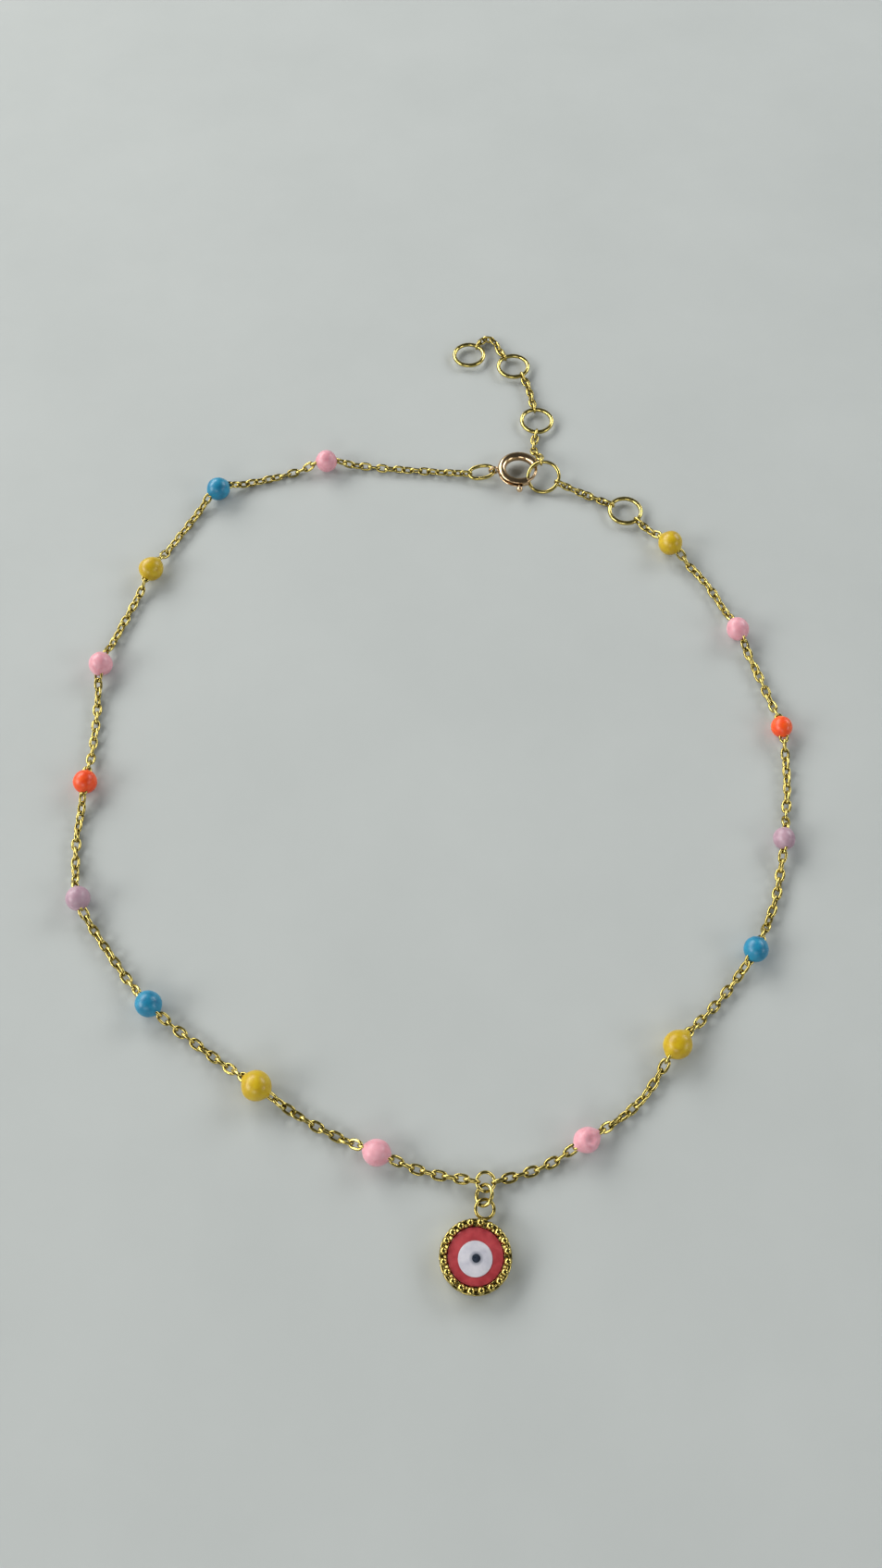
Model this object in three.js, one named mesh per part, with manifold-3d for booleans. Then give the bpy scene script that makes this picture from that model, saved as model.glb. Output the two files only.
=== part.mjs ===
// Charm anklet: a fine gold cable chain with sixteen enamel drops, a round evil-eye charm at the
// middle, and a spring-ring clasp hooked on the second of five extension rings.
// The anklet lies flat in a closed loop. Millimetres, +Z up, floor at z = 0, clasp side towards +Y.
import * as THREE from "three";
import { mergeVertices } from "three/addons/utils/BufferGeometryUtils.js";
import Module from "manifold-3d";

const wasm = await Module();
wasm.setup();

// ---------------------------------------------------------------- driving dimensions (mm, degrees)

const ORIGIN = { x: 0.105, y: 0.683 }; // shift that brings the middle of the outline to x = y = 0

// Chain: cable links stand for a round tube of this size.
const CHAIN_D = 0.8; // across the flats of the eight-sided section
const CHAIN_SIDES = 8;
const CHAIN_Z = CHAIN_D / 2 + 0.004; // height of the centre line where the chain lies on the floor
const EYE_R = 0.42; // last link of a chain, round a ring's wire: centre-line radius
const EYE_WIRE = 0.26; // and wire diameter
const EYE_START = 0.44; // where the tube begins, from the middle of the wire that the eye holds
const DROP_RUN = 1.3; // half length of the straight run through a drop
const SLOPE_RUN = 3.4; // distance from a drop at which the chain reaches the floor

// Enamel drops, in order from the clasp round to the extension. bow: how far the chain swings
// outwards half way to the next place, out from the straight line.
const DROP_BORE = 1.12;
const DROP_SIDES = 12;
const DROPS_LEFT = [
  { name: "bead_01", enamel: "pink", x: -12.98, y: 34.08, d: 2.55, bow: 0.2 },
  { name: "bead_02", enamel: "blue", x: -25.3, y: 29.87, d: 2.6, bow: 0.4 },
  { name: "bead_03", enamel: "yellow", x: -31.74, y: 18.41, d: 2.65, bow: 0.25 },
  { name: "bead_04", enamel: "pink", x: -35.77, y: 5.76, d: 2.5, bow: -0.1 },
  { name: "bead_05", enamel: "orange", x: -35.54, y: -8.41, d: 2.4, bow: 0.7 },
  { name: "bead_06", enamel: "lilac", x: -34.54, y: -21.13, d: 2.36, bow: 0.4 },
  { name: "bead_07", enamel: "blue", x: -26.61, y: -31.63, d: 2.45, bow: 0.2 },
  { name: "bead_08", enamel: "yellow", x: -16.09, y: -39.25, d: 2.7, bow: 0.45 },
  { name: "bead_09", enamel: "pink", x: -5.2, y: -45.07, d: 2.65, bow: 0.35 },
];
const DROPS_RIGHT = [
  { name: "bead_10", enamel: "pink", x: 13.16, y: -43.96, d: 2.5, bow: 1.0 },
  { name: "bead_11", enamel: "yellow", x: 21.85, y: -35.54, d: 2.6, bow: 0.35 },
  { name: "bead_12", enamel: "blue", x: 30.09, y: -26.3, d: 2.4, bow: 0.7 },
  { name: "bead_13", enamel: "lilac", x: 34.3, y: -14.72, d: 2.2, bow: 0.55 },
  { name: "bead_14", enamel: "orange", x: 35.68, y: -1.9, d: 2.25, bow: 0.3 },
  { name: "bead_15", enamel: "pink", x: 32.45, y: 10.3, d: 2.5, bow: 0.85 },
  { name: "bead_16", enamel: "yellow", x: 26.16, y: 21.91, d: 2.65, bow: 0 },
];
const FIRST_BOW = 0.1; // from the connector to the first drop
const CENTRE_BOW = 0.5; // from the centre ring to the tenth drop

// Extension rings. axis: heading of the line that a ring is tilted about, tilt: its lift on the left of it.
const RING_OD = 4.0;
const RING_WIRE = 0.4;
const RING_R = (RING_OD - RING_WIRE) / 2;
const RINGS = [
  { name: "extension_ring_1", x: 21.57, y: 27.23, z: 0.56, axis: 0, tilt: 0 },
  { name: "extension_ring_2", x: 12.32, y: 31.91, z: 1.0, axis: -22.5, tilt: 25 },
  { name: "extension_ring_3", x: 11.9, y: 41.11, z: 0.56, axis: 0, tilt: 0 },
  { name: "extension_ring_4", x: 9.32, y: 50.13, z: 0.56, axis: 0, tilt: 0 },
  { name: "extension_ring_5", x: 3.89, y: 52.07, z: 0.56, axis: 0, tilt: 0 },
];

// Spring-ring clasp, lying flat. Angles are counted from +X towards +Y about its own middle.
const CLASP = { x: 9.49, y: 33.08, z: 1.0 };
const CLASP_OD = 5.0;
const CLASP_TUBE = 1.0;
const CLASP_R = (CLASP_OD - CLASP_TUBE) / 2;
const CLASP_BORE = 0.6; // hollow that the bolt slides in
const GAP_FROM = -63; // lower lip of the opening
const GAP_TO = 18; // upper lip of the opening
const BOLT_D = 0.36;
const BOLT_BACK = -110; // tail of the bolt, inside the tube
const BOLT_TIP = 24; // tip of the bolt, in its pocket beyond the upper lip
const BOLT_POCKET = 29;
const KNOB_AT = -90;
const KNOB_D = 0.72;
const KNOB_R = 3.02; // distance of the knob from the clasp's middle
const STEM_W = 0.4; // stem between bolt and knob, along the tube
const STEM_H = 0.34;
const SLOT_H = 0.52;
const TRAVEL = 62; // the knob slides back by this angle to open the clasp
const TAB_R = 0.48; // soldered loop that the connector hangs in
const TAB_WIRE = 0.3;
const TAB_AT = 2.93; // its middle, from the clasp's middle

// Oval connector between clasp and chain.
const CONNECTOR = { length: 2.9, width: 1.9, wire: 0.4, heading: 183, drop: 0.44 };

// Middle of the anklet: two small rings and the charm's bail.
const CENTRE_RING = { x: 4.32, y: -47.4, z: 0.7, axis: -99, tilt: -10 };
const JUMP_RING = { x: 4.12, y: -48.55, z: 0.7, axis: -95, tilt: 42 };
const BAIL = { x: 4.12, y: -49.68, z: 0.7, axis: -100, tilt: -5 };
const SMALL_OD = 1.9;
const SMALL_WIRE = 0.3;
const SMALL_R = (SMALL_OD - SMALL_WIRE) / 2;

// Charm: a flat-backed cup with a beaded edge, and three flush enamels.
const CHARM = { x: 3.3, y: -53.62 };
const CUP_R = 2.9;
const CUP_EDGE = 0.22; // rounding of the back edge
const CUP_H = 1.45;
const CUP_FLOOR = 0.55;
const CUP_INNER = 2.42;
const GRAINS = 20;
const GRAIN_D = 0.8;
const GRAIN_R = 2.76; // circle of the grains
const GRAIN_Z = 1.4;
const SOLDER_D = 0.7;
const FIELD_R = 2.3; // coral
const WHITE_R = 1.5;
const PUPIL_R = 0.4;
const ENAMEL_GAP = 0.06;
const FIELD_EDGE_Z = 1.42; // height of the enamel at its edge
const CROWN = 0.16; // and its rise to the middle

const COLOURS = {
  gold: 0xc79a3a,
  rose: 0xc98f62,
  pink: 0xd68a93,
  blue: 0x257d9c,
  yellow: 0xd9b01c,
  orange: 0xf0602a,
  lilac: 0xb59aa6,
  coral: 0xbb484c,
  white: 0xe6e4e6,
  pupil: 0x27313c,
};

// ---------------------------------------------------------------- helpers

const rad = THREE.MathUtils.degToRad;
const root = new THREE.Group();

function material(colour) {
  const metal = colour === "gold" || colour === "rose";
  return new THREE.MeshStandardMaterial({
    color: COLOURS[colour],
    metalness: metal ? 1 : 0,
    roughness: metal ? 0.22 : 0.35,
  });
}

function place(name, geometry, colour, parent = root) {
  const mesh = new THREE.Mesh(geometry, material(colour));
  mesh.name = name;
  parent.add(mesh);
  return mesh;
}

// A closed geometry as a solid for joining and cutting.
function solid(geometry) {
  const bare = new THREE.BufferGeometry().setAttribute(
    "position",
    (geometry.index ? geometry.toNonIndexed() : geometry).getAttribute("position").clone(),
  );
  const merged = mergeVertices(bare, 1e-4);
  return new wasm.Manifold(
    new wasm.Mesh({
      numProp: 3,
      vertProperties: new Float32Array(merged.attributes.position.array),
      triVerts: new Uint32Array(merged.index.array),
    }),
  );
}

function geometryOf(body) {
  const mesh = body.getMesh();
  const points = new Float32Array(mesh.numVert * 3);
  for (let i = 0; i < mesh.numVert; i++)
    points.set(mesh.vertProperties.subarray(i * mesh.numProp, i * mesh.numProp + 3), i * 3);
  const geometry = new THREE.BufferGeometry()
    .setAttribute("position", new THREE.BufferAttribute(points, 3))
    .setIndex(new THREE.BufferAttribute(mesh.triVerts, 1));
  geometry.computeVertexNormals();
  return geometry;
}

const join = (list) => geometryOf(list.map(solid).reduce((a, b) => a.add(b)));

// A path through given points, one step from each to the next.
class StepPath extends THREE.Curve {
  constructor(points) {
    super();
    this.points = points;
  }
  getPoint(t, target = new THREE.Vector3()) {
    const at = Math.min(Math.max(t, 0), 1) * (this.points.length - 1);
    const i = Math.min(Math.floor(at), this.points.length - 2);
    return target.lerpVectors(this.points[i], this.points[i + 1], at - i);
  }
  getUtoTmapping(u) {
    return u;
  }
}

// A regular polygon whose flats are as far apart as the diameter of the round that it stands for.
function section(diameter, sides) {
  const shape = new THREE.Shape();
  const corner = diameter / 2 / Math.cos(Math.PI / sides);
  for (let i = 0; i < sides; i++) {
    const a = ((i + 0.5) / sides) * 2 * Math.PI;
    if (i) shape.lineTo(corner * Math.cos(a), corner * Math.sin(a));
    else shape.moveTo(corner * Math.cos(a), corner * Math.sin(a));
  }
  shape.closePath();
  return shape;
}

function tube(points, diameter, sides) {
  return new THREE.ExtrudeGeometry(section(diameter, sides), {
    steps: points.length - 1,
    bevelEnabled: false,
    extrudePath: new StepPath(points),
  });
}

// A tube along an arc of the clasp, from one angle to another.
function arcTube(radius, from, to, diameter, sides, step) {
  const n = Math.max(2, Math.ceil((to - from) / step));
  const points = [];
  for (let i = 0; i <= n; i++) {
    const a = rad(from + ((to - from) * i) / n);
    points.push(new THREE.Vector3(radius * Math.cos(a), radius * Math.sin(a), 0));
  }
  return tube(points, diameter, sides);
}

// A flat sector of a ring, centred on z = 0.
function sector(inner, outer, from, to, height) {
  const shape = new THREE.Shape();
  const n = Math.max(2, Math.ceil((to - from) / 8));
  for (let i = 0; i <= n; i++) {
    const a = rad(from + ((to - from) * i) / n);
    if (i) shape.lineTo(outer * Math.cos(a), outer * Math.sin(a));
    else shape.moveTo(outer * Math.cos(a), outer * Math.sin(a));
  }
  for (let i = n; i >= 0; i--) {
    const a = rad(from + ((to - from) * i) / n);
    shape.lineTo(inner * Math.cos(a), inner * Math.sin(a));
  }
  shape.closePath();
  return new THREE.ExtrudeGeometry(shape, { depth: height, bevelEnabled: false }).translate(
    0,
    0,
    -height / 2,
  );
}

// Turn of a ring that is tilted about a level line through its middle.
function tiltOf({ axis, tilt }) {
  const line = new THREE.Vector3(Math.cos(rad(axis)), Math.sin(rad(axis)), 0);
  return new THREE.Quaternion().setFromAxisAngle(line, rad(tilt));
}

// Point on a tilted ring's wire, at an angle counted from +X before the tilt.
function onRing(ring, radius, angle) {
  return new THREE.Vector3(radius * Math.cos(rad(angle)), radius * Math.sin(rad(angle)), 0)
    .applyQuaternion(tiltOf(ring))
    .add(new THREE.Vector3(ring.x, ring.y, ring.z));
}

// The upright last link of a chain, round the wire at a point, in line with the chain.
function eye(at, heading) {
  return new THREE.TorusGeometry(EYE_R, EYE_WIRE / 2, 6, 12)
    .rotateX(Math.PI / 2)
    .rotateZ(Math.atan2(heading.y, heading.x))
    .translate(at.x, at.y, at.z);
}

// A smooth level curve through points, as a function of the way along their chords.
function smooth(points) {
  const t = [0];
  for (let i = 1; i < points.length; i++)
    t.push(t[i - 1] + Math.hypot(points[i].x - points[i - 1].x, points[i].y - points[i - 1].y));
  const slope = (i, k) => {
    const d = (a, b) => (points[b][k] - points[a][k]) / (t[b] - t[a]);
    if (i === 0) return d(0, 1);
    if (i === points.length - 1) return d(i - 1, i);
    return (d(i, i + 1) * (t[i] - t[i - 1]) + d(i - 1, i) * (t[i + 1] - t[i])) / (t[i + 1] - t[i - 1]);
  };
  const at = (s) => {
    let i = 0;
    while (i < points.length - 2 && s > t[i + 1]) i++;
    const w = t[i + 1] - t[i];
    const u = (s - t[i]) / w;
    const value = (k) =>
      (2 * u ** 3 - 3 * u ** 2 + 1) * points[i][k] +
      (u ** 3 - 2 * u ** 2 + u) * w * slope(i, k) +
      (-2 * u ** 3 + 3 * u ** 2) * points[i + 1][k] +
      (u ** 3 - u ** 2) * w * slope(i + 1, k);
    return { x: value("x"), y: value("y") };
  };
  return { t, at, slope };
}

// Half of the loop: an eye, the drops in order, and another eye. The chain runs level and straight
// through each drop, comes down to the floor beyond it, and bows a little on the way to the next.
function halfLoop(name, start, startBow, drops, end, parent = root) {
  const stops = [start, ...drops, end];
  const bows = [startBow, ...drops.map((d) => d.bow)];
  const guide = [stops[0]];
  for (let i = 1; i < stops.length; i++) {
    const a = stops[i - 1];
    const b = stops[i];
    const long = Math.hypot(b.x - a.x, b.y - a.y);
    const out = bows[i - 1] / long; // the loop is travelled anticlockwise, so outwards is on the right
    guide.push({
      x: (a.x + b.x) / 2 + (b.y - a.y) * out,
      y: (a.y + b.y) / 2 - (b.x - a.x) * out,
    });
    guide.push(b);
  }
  const curve = smooth(guide);
  const points = [];
  const put = (p, z) => points.push(new THREE.Vector3(p.x, p.y, z));
  const along = (stop, heading, far) => ({ x: stop.x + heading.x * far, y: stop.y + heading.y * far });
  const headings = stops.map((_, i) => {
    const k = 2 * i;
    const x = curve.slope(k, "x");
    const y = curve.slope(k, "y");
    const n = Math.hypot(x, y);
    return { x: x / n, y: y / n };
  });
  stops.forEach((stop, i) => {
    const s = curve.t[2 * i];
    const z = stop.d ? stop.d / 2 : stop.z;
    const reach = stop.d ? DROP_RUN : EYE_START;
    if (i) put(along(stop, headings[i], -reach), z);
    if (i < stops.length - 1) {
      const next = curve.t[2 * i + 2];
      put(along(stop, headings[i], reach), z);
      const mids = next - s > 3 * SLOPE_RUN ? [s + SLOPE_RUN, (s + next) / 2, next - SLOPE_RUN] : [(s + next) / 2];
      mids.forEach((m) => put(curve.at(m), CHAIN_Z));
    }
  });
  const last = headings[headings.length - 1];
  place(
    name,
    join([tube(points, CHAIN_D, CHAIN_SIDES), eye(start, headings[0]), eye(end, last)]),
    "gold",
    parent,
  );
  return drops.map((_, i) => headings[i + 1]);
}

// A short chain from ring to ring by way of a few points.
function shortChain(name, start, end, via = []) {
  const guide = [start, ...via, end];
  const unit = (a, b) => new THREE.Vector3(b.x - a.x, b.y - a.y, 0).normalize();
  const first = unit(guide[0], guide[1]);
  const last = unit(guide[guide.length - 2], guide[guide.length - 1]);
  const points = [
    new THREE.Vector3(start.x, start.y, start.z).addScaledVector(first, EYE_START),
    ...via.map((p) => new THREE.Vector3(p.x, p.y, p.z)),
    new THREE.Vector3(end.x, end.y, end.z).addScaledVector(last, -EYE_START),
  ];
  place(name, join([tube(points, CHAIN_D, CHAIN_SIDES), eye(start, first), eye(end, last)]), "gold");
}

// An enamel drop: a ball with the chain's passage through it, its lowest corner on the floor.
function drop(row, heading) {
  const r = row.d / 2;
  const bore = DROP_BORE / 2;
  const from = Math.asin(bore / r);
  const profile = [];
  const n = 7;
  for (let i = 0; i <= n - 1; i++) {
    const a = from + ((Math.PI - 2 * from) * i) / (n - 1);
    profile.push(new THREE.Vector2(r * Math.sin(a), -r * Math.cos(a)));
  }
  profile.push(profile[0].clone());
  const mesh = place(row.name, new THREE.LatheGeometry(profile, DROP_SIDES), row.enamel);
  mesh.position.set(row.x, row.y, r);
  const along = new THREE.Vector3(heading.x, heading.y, 0);
  const up = new THREE.Vector3(0, 0, 1);
  const side = new THREE.Vector3().crossVectors(along, up);
  mesh.quaternion.setFromRotationMatrix(new THREE.Matrix4().makeBasis(side, along, up));
  return mesh;
}

function ring(row, radius, wire, colour, sides, steps) {
  const mesh = place(row.name, new THREE.TorusGeometry(radius, wire / 2, sides, steps), colour);
  mesh.position.set(row.x, row.y, row.z);
  mesh.quaternion.copy(tiltOf(row));
  return mesh;
}

// ---------------------------------------------------------------- extension rings and centre rings

for (const row of RINGS) ring(row, RING_R, RING_WIRE, "gold", 8, 24);
ring({ name: "centre_ring", ...CENTRE_RING }, SMALL_R, SMALL_WIRE, "gold", 8, 20);
ring({ name: "jump_ring", ...JUMP_RING }, SMALL_R, SMALL_WIRE, "gold", 8, 20);

// ---------------------------------------------------------------- clasp

const clasp = new THREE.Group();
clasp.position.set(CLASP.x, CLASP.y, CLASP.z);
root.add(clasp);

const shell = solid(arcTube(CLASP_R, GAP_TO, 360 + GAP_FROM, CLASP_TUBE, 12, 9))
  .subtract(solid(arcTube(CLASP_R, 360 + BOLT_BACK - TRAVEL - 4, 360 + GAP_FROM + 4, CLASP_BORE, 10, 8)))
  .subtract(solid(arcTube(CLASP_R, GAP_TO - 4, BOLT_POCKET, CLASP_BORE, 10, 5)))
  .subtract(
    solid(
      sector(CLASP_R, CLASP_OD / 2 + 0.4, 360 + KNOB_AT - TRAVEL - 9, 360 + KNOB_AT + 9, SLOT_H),
    ),
  )
  .add(
    solid(
      new THREE.TorusGeometry(TAB_R, TAB_WIRE / 2, 8, 16)
        .rotateX(Math.PI / 2)
        .rotateZ(rad(CONNECTOR.heading))
        .translate(
          TAB_AT * Math.cos(rad(CONNECTOR.heading)),
          TAB_AT * Math.sin(rad(CONNECTOR.heading)),
          0,
        ),
    ),
  );
place("clasp_body", geometryOf(shell), "rose", clasp);

const knob = new THREE.SphereGeometry(KNOB_D / 2, 10, 8).rotateX(Math.PI / 2).translate(0, -KNOB_R, 0);
const stemHalf = THREE.MathUtils.radToDeg(STEM_W / 2 / (CLASP_OD / 2));
place(
  "clasp_trigger",
  join([
    arcTube(CLASP_R, 360 + BOLT_BACK, 360 + BOLT_TIP, BOLT_D, 10, 8),
    sector(CLASP_R, KNOB_R, 360 + KNOB_AT - stemHalf, 360 + KNOB_AT + stemHalf, STEM_H),
    knob,
  ]),
  "rose",
  clasp,
);

// Connector: an oval ring through the clasp's loop, its far end lower, at the chain.
class Oval extends THREE.Curve {
  getPoint(t, target = new THREE.Vector3()) {
    const a = 2 * Math.PI * t;
    return target.set(
      (CONNECTOR.length / 2) * Math.cos(a),
      (CONNECTOR.width / 2) * Math.sin(a) * (1 - 0.12 * Math.sin(a) ** 2),
      0,
    );
  }
}
const reach = new THREE.Vector3(Math.cos(rad(CONNECTOR.heading)), Math.sin(rad(CONNECTOR.heading)), 0);
const level = Math.sqrt(CONNECTOR.length ** 2 - CONNECTOR.drop ** 2);
const tabPoint = new THREE.Vector3(CLASP.x, CLASP.y, CLASP.z).addScaledVector(reach, TAB_AT);
const chainPoint = tabPoint.clone().addScaledVector(reach, level);
chainPoint.z -= CONNECTOR.drop;
const connector = place(
  "connector_ring",
  new THREE.TubeGeometry(new Oval(), 22, CONNECTOR.wire / 2, 8, true),
  "gold",
);
{
  const along = chainPoint.clone().sub(tabPoint).normalize();
  const side = new THREE.Vector3().crossVectors(new THREE.Vector3(0, 0, 1), along).normalize();
  const up = new THREE.Vector3().crossVectors(along, side);
  connector.quaternion.setFromRotationMatrix(new THREE.Matrix4().makeBasis(along, side, up));
  connector.position.copy(tabPoint).add(chainPoint).multiplyScalar(0.5);
}

// ---------------------------------------------------------------- chains and drops

const leftEnd = onRing(CENTRE_RING, SMALL_R, 180);
const rightStart = onRing(CENTRE_RING, SMALL_R, 0);
const leftHeadings = halfLoop("chain_left", chainPoint, FIRST_BOW, DROPS_LEFT, leftEnd);
DROPS_LEFT.forEach((row, i) => drop(row, leftHeadings[i]));
const ring1 = RINGS[0];
const ring2 = RINGS[1];
const ring3 = RINGS[2];
const ring4 = RINGS[3];
const ring5 = RINGS[4];
const rightHeadings = halfLoop("chain_right", rightStart, CENTRE_BOW, DROPS_RIGHT, onRing(ring1, RING_R, -49));
DROPS_RIGHT.forEach((row, i) => drop(row, rightHeadings[i]));

shortChain("extension_chain_1", onRing(ring1, RING_R, 150), onRing(ring2, RING_R, -27), [
  { x: 18.6, y: 28.95, z: CHAIN_Z },
  { x: 16.2, y: 30.05, z: 0.6 },
]);
shortChain("extension_chain_2", onRing(ring2, RING_R, 96), onRing(ring3, RING_R, -93), [
  { x: 12.2, y: 34.75, z: 1.3 },
  { x: 11.85, y: 36.0, z: 0.6 },
  { x: 11.75, y: 37.6, z: CHAIN_Z + 0.01 },
]);
shortChain("extension_chain_3", onRing(ring3, RING_R, 97), onRing(ring4, RING_R, -56), [
  { x: 11.4, y: 44.6, z: CHAIN_Z },
  { x: 11.1, y: 46.6, z: CHAIN_Z },
]);
shortChain("extension_chain_4", onRing(ring4, RING_R, 124), onRing(ring5, RING_R, 55), [
  { x: 7.5, y: 53.3, z: CHAIN_Z },
  { x: 7.0, y: 54.55, z: 0.5 },
  { x: 6.2, y: 54.95, z: 0.55 },
  { x: 5.5, y: 54.55, z: 0.5 },
]);

// ---------------------------------------------------------------- charm

const charm = new THREE.Group();
charm.position.set(CHARM.x, CHARM.y, 0);
root.add(charm);

// A profile from the axis round to the axis again, turned about +Z.
function turned(rows, segments) {
  return new THREE.LatheGeometry(
    rows.map(([r, z]) => new THREE.Vector2(r, z)),
    segments,
  ).rotateX(Math.PI / 2);
}

const grains = [];
for (let i = 0; i < GRAINS; i++) {
  const a = ((i + 0.5) / GRAINS) * 2 * Math.PI;
  grains.push(
    new THREE.SphereGeometry(GRAIN_D / 2, 8, 5)
      .rotateX(Math.PI / 2)
      .rotateZ(a)
      .translate(GRAIN_R * Math.cos(a), GRAIN_R * Math.sin(a), GRAIN_Z),
  );
}
const bailAt = new THREE.Vector3(BAIL.x - CHARM.x, BAIL.y - CHARM.y, BAIL.z);
const toBail = new THREE.Vector3(bailAt.x, bailAt.y, 0).normalize();
const bail = new THREE.TorusGeometry(SMALL_R, SMALL_WIRE / 2, 8, 20)
  .applyQuaternion(tiltOf(BAIL))
  .translate(bailAt.x, bailAt.y, bailAt.z);
const solder = new THREE.SphereGeometry(SOLDER_D / 2, 10, 8)
  .rotateX(Math.PI / 2)
  .translate(toBail.x * (CUP_R + 0.08), toBail.y * (CUP_R + 0.08), BAIL.z);
const cup = turned(
  [
    [0, 0],
    [CUP_R - CUP_EDGE, 0],
    [CUP_R, CUP_EDGE],
    [CUP_R, CUP_H],
    [CUP_INNER, CUP_H],
    [CUP_INNER, CUP_FLOOR],
    [0, CUP_FLOOR],
  ],
  2 * GRAINS,
);
place("charm_setting", join([cup, ...grains, solder, bail]), "gold", charm);

const crownAt = (r) => FIELD_EDGE_Z + CROWN * (1 - (r / FIELD_R) ** 2);
const WHITE_FLOOR = 1.05;
const PUPIL_FLOOR = 1.25;
const field = [
  [0, CUP_FLOOR + ENAMEL_GAP],
  [FIELD_R, CUP_FLOOR + ENAMEL_GAP],
  [FIELD_R, crownAt(FIELD_R)],
  [(FIELD_R + WHITE_R) / 2, crownAt((FIELD_R + WHITE_R) / 2)],
  [WHITE_R + ENAMEL_GAP, crownAt(WHITE_R + ENAMEL_GAP)],
  [WHITE_R + ENAMEL_GAP, WHITE_FLOOR],
  [0, WHITE_FLOOR],
];
const white = [
  [0, WHITE_FLOOR + ENAMEL_GAP],
  [WHITE_R, WHITE_FLOOR + ENAMEL_GAP],
  [WHITE_R, crownAt(WHITE_R)],
  [(WHITE_R + PUPIL_R) / 2, crownAt((WHITE_R + PUPIL_R) / 2)],
  [PUPIL_R + ENAMEL_GAP, crownAt(PUPIL_R + ENAMEL_GAP)],
  [PUPIL_R + ENAMEL_GAP, PUPIL_FLOOR],
  [0, PUPIL_FLOOR],
];
const pupil = [
  [0, PUPIL_FLOOR + ENAMEL_GAP],
  [PUPIL_R, PUPIL_FLOOR + ENAMEL_GAP],
  [PUPIL_R, crownAt(PUPIL_R)],
  [0, crownAt(0)],
];
place("charm_enamel_field", turned(field, 28), "coral", charm);
place("charm_enamel_white", turned(white, 24), "white", charm);
place("charm_enamel_pupil", turned(pupil, 16), "pupil", charm);

root.position.set(ORIGIN.x, ORIGIN.y, 0);

export default root;
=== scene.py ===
"""Charm anklet: linked cable chain, enamel drops, rings, spring-ring clasp and evil-eye charm.

Sizes are in millimetres in the design frame of the part and become metres in piece().
"""

import math

import bpy
import numpy as np
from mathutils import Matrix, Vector


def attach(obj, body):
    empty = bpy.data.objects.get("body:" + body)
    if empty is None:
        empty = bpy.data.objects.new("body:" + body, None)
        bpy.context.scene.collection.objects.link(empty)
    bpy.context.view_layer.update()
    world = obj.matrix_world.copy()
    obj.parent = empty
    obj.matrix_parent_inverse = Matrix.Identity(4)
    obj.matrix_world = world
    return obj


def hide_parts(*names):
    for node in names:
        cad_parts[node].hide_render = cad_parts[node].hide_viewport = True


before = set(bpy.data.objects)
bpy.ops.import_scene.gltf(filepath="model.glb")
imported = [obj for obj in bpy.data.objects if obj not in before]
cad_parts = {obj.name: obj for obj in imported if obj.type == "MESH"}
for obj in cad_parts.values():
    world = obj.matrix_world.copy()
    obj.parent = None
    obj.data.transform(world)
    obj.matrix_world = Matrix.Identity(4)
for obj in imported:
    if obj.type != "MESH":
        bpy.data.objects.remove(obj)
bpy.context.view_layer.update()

MM = 0.001
ORIGIN = np.array([0.105, 0.683, 0.0])  # design frame to the part's own frame
UP = np.array([0.0, 0.0, 1.0])

# ------------------------------------------------------------------ sizes (mm, degrees)

LINK_L, LINK_W, LINK_WIRE = 1.58, 1.0, 0.28  # one oval cable link, outside sizes
PITCH = 1.0
DROP_RUN, SLOPE_RUN = 0.9, 3.4  # level through a drop, back on the floor beyond it

# name, enamel, x, y, diameter, outward bow to the next place,
# stretch along the chain, tips at both ends, unevenness, seed
DROPS_LEFT = [
    ("bead_01", "pink", -12.98, 34.08, 2.55, 0.2, 0.00, 0.10, 0.10, 0.020, 11),
    ("bead_02", "blue", -25.3, 29.87, 2.6, 0.4, 0.02, 0.12, 0.12, 0.016, 12),
    ("bead_03", "yellow", -31.74, 18.41, 2.65, 0.25, 0.02, 0.16, 0.12, 0.022, 13),
    ("bead_04", "pink", -35.77, 5.76, 2.5, -0.1, 0.02, 0.12, 0.14, 0.020, 14),
    ("bead_05", "orange", -35.54, -8.41, 2.4, 0.7, 0.02, 0.12, 0.10, 0.018, 15),
    ("bead_06", "lilac", -34.54, -21.13, 2.36, 0.4, 0.03, 0.14, 0.12, 0.020, 16),
    ("bead_07", "blue", -26.61, -31.63, 2.45, 0.2, 0.03, 0.12, 0.12, 0.018, 17),
    ("bead_08", "yellow", -16.09, -39.25, 2.7, 0.45, 0.02, 0.16, 0.14, 0.022, 18),
    ("bead_09", "pink", -5.2, -45.07, 2.4, 0.35, 0.03, 0.14, 0.14, 0.020, 19),
]
DROPS_RIGHT = [
    ("bead_10", "pink", 13.16, -43.96, 2.28, 1.0, 0.08, 0.22, 0.20, 0.026, 20),
    ("bead_11", "yellow", 21.85, -35.54, 2.6, 0.35, 0.06, 0.26, 0.34, 0.026, 21),
    ("bead_12", "blue", 30.09, -26.3, 2.4, 0.7, 0.02, 0.12, 0.12, 0.018, 22),
    ("bead_13", "lilac", 34.3, -14.72, 2.2, 0.55, 0.02, 0.12, 0.12, 0.018, 23),
    ("bead_14", "orange", 35.68, -1.9, 2.1, 0.3, 0.07, 0.12, 0.12, 0.018, 24),
    ("bead_15", "pink", 32.45, 10.3, 2.5, 0.85, 0.02, 0.12, 0.12, 0.018, 25),
    ("bead_16", "yellow", 26.16, 21.91, 2.65, 0.0, 0.02, 0.14, 0.12, 0.020, 26),
]
FIRST_BOW, CENTRE_BOW = 0.1, 0.5
DENTS = {"bead_10": ((0.30, -0.22, 0.92), 0.24, 0.07)}  # towards, depth, width

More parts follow.
